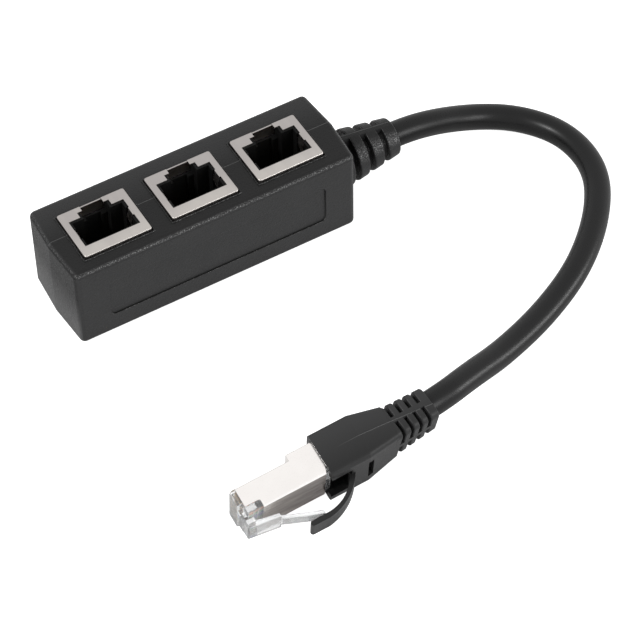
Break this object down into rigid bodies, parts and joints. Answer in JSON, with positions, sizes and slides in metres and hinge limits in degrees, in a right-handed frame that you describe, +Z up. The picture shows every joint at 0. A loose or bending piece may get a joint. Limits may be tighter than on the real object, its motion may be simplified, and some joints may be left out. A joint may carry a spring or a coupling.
{
  "type": "rj45 splitter adapter",
  "caption": "Moulded black box with shielded network jacks along its top and a short round cable to a shielded, booted modular plug.",
  "frame": {"origin": "centre of the box's flat bottom face", "axes": "+X along the box towards the cable's strain relief, +Z up out of the jacks, the long side with the bare label panel faces -Y"},
  "size_m": [0.1242, 0.093, 0.0227],
  "materials": {
    "housing_plastic": "fine spark grain, satin",
    "board_laminate": "solder resist",
    "jack_sheet": "satin nickel plate",
    "insert_plastic": "satin",
    "jack_gold": "gold plate on bronze",
    "cable_jacket": "smooth satin",
    "boot_plastic": "smooth satin",
    "clear_plastic": "clear, polished",
    "plug_sheet": "bright nickel plate",
    "plug_gold": "gold plate",
    "orange_insulation": "smooth",
    "green_insulation": "smooth",
    "blue_insulation": "smooth",
    "brown_insulation": "smooth"
  },
  "bodies": {
    "root": {"housing": "housing_plastic", "circuit_board": "board_laminate", "cable": "cable_jacket", "boot": "boot_plastic", "plug_body": "clear_plastic", "plug_shield": "plug_sheet", "plug_contacts": "plug_gold", "jack_shield_1": "jack_sheet", "jack_insert_1": "insert_plastic", "jack_contacts_1": "jack_gold", "jack_shield_2": "jack_sheet", "jack_insert_2": "insert_plastic", "jack_contacts_2": "jack_gold", "jack_shield_3": "jack_sheet", "jack_insert_3": "insert_plastic", "jack_contacts_3": "jack_gold", "box_wires_orange": "orange_insulation", "plug_wires_orange": "orange_insulation", "box_wires_green": "green_insulation", "plug_wires_green": "green_insulation", "box_wires_blue": "blue_insulation", "plug_wires_blue": "blue_insulation", "box_wires_brown": "brown_insulation", "plug_wires_brown": "brown_insulation"}
  },
  "joints": []
}
